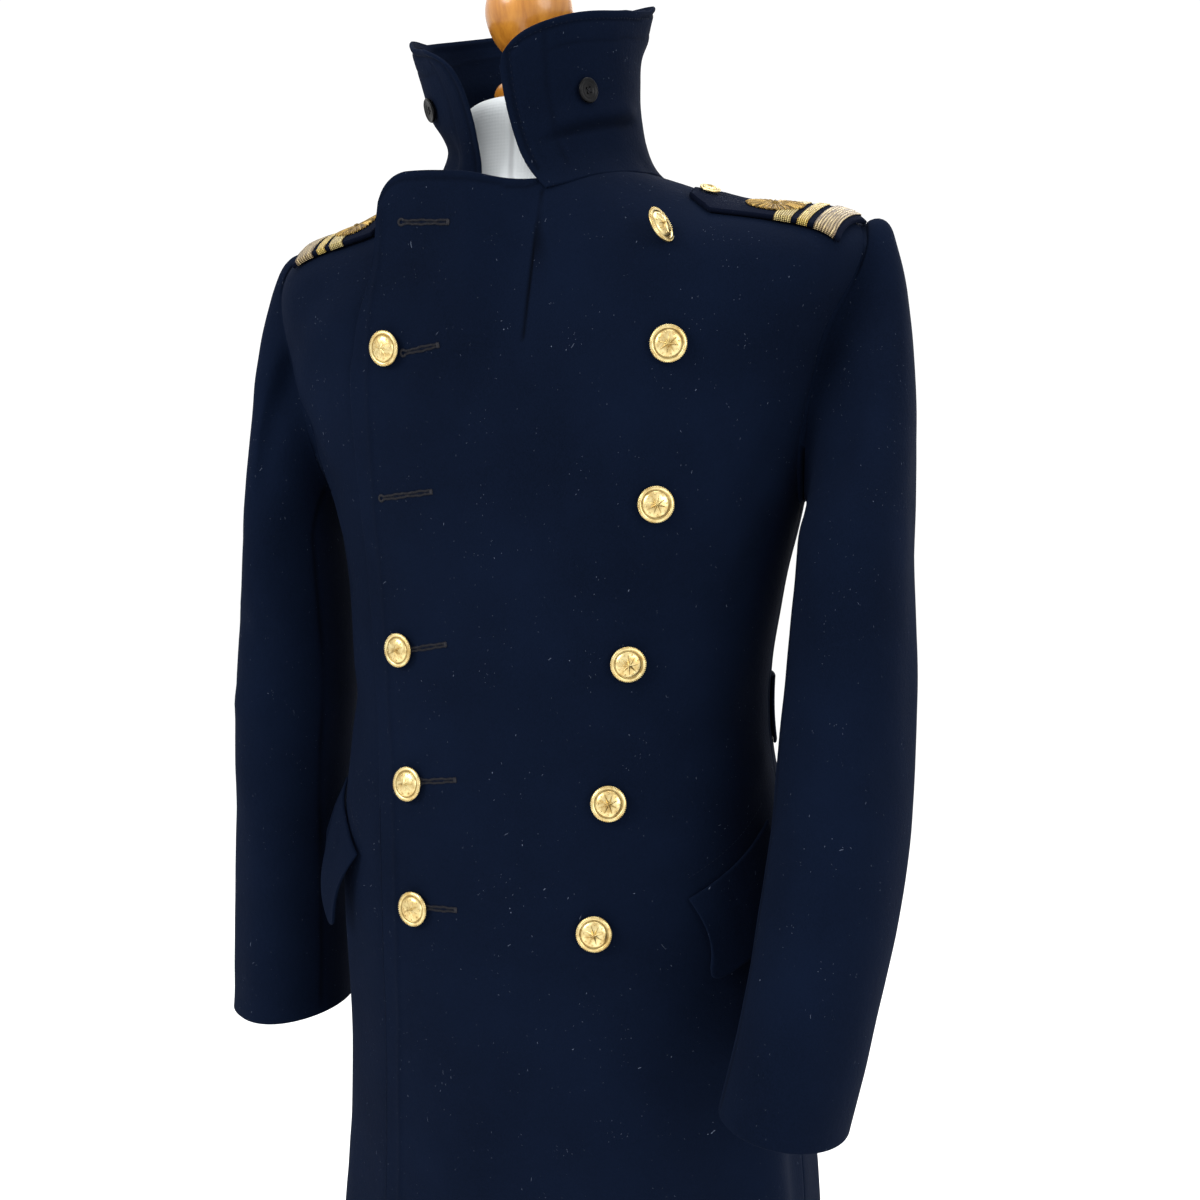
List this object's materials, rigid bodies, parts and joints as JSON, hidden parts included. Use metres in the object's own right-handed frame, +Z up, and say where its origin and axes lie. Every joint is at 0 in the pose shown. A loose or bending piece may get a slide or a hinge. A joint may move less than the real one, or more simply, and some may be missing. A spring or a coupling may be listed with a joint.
{
  "type": "double-breasted military greatcoat on a limbless dress form",
  "caption": "Long dark navy wool greatcoat, double-breasted with gilt buttons, turned-up collar and laced shoulder straps, worn by a limbless dress form on a round stand.",
  "frame": {"origin": "centre of the stand's flat underside, on the pole's axis", "axes": "+Z up; -Y is the front of the coat; +X is the wearer's left"},
  "size_m": [0.5684, 0.432, 1.615],
  "materials": {
    "melton": "dark navy milled wool, matt",
    "strap_cloth": "dark navy cloth with bands of gold and silver lace",
    "gilt": "pale gilt stamped brass, slightly worn",
    "dark_button": "dark moulded buttons",
    "canvas": "white cotton canvas",
    "varnished_wood": "honey-coloured varnish"
  },
  "bodies": {
    "root": {"front_left": "melton", "front_right": "melton", "back_left": "melton", "back_right": "melton", "sleeve_left": "melton", "sleeve_right": "melton", "collar": "melton", "back_belt": "melton", "pocket_flap_left": "melton", "pocket_flap_right": "melton", "shoulder_strap_left": "strap_cloth", "shoulder_strap_right": "strap_cloth", "button_left_1": "gilt", "button_left_2": "gilt", "button_left_3": "gilt", "button_left_4": "gilt", "button_left_5": "gilt", "button_left_6": "gilt", "button_right_2": "gilt", "button_right_4": "gilt", "button_right_5": "gilt", "button_right_6": "gilt", "strap_button_left": "gilt", "strap_button_right": "gilt", "collar_button_left": "dark_button", "collar_button_right": "dark_button", "form_torso": "canvas", "form_finial": "varnished_wood", "form_stand": "varnished_wood"}
  },
  "joints": []
}
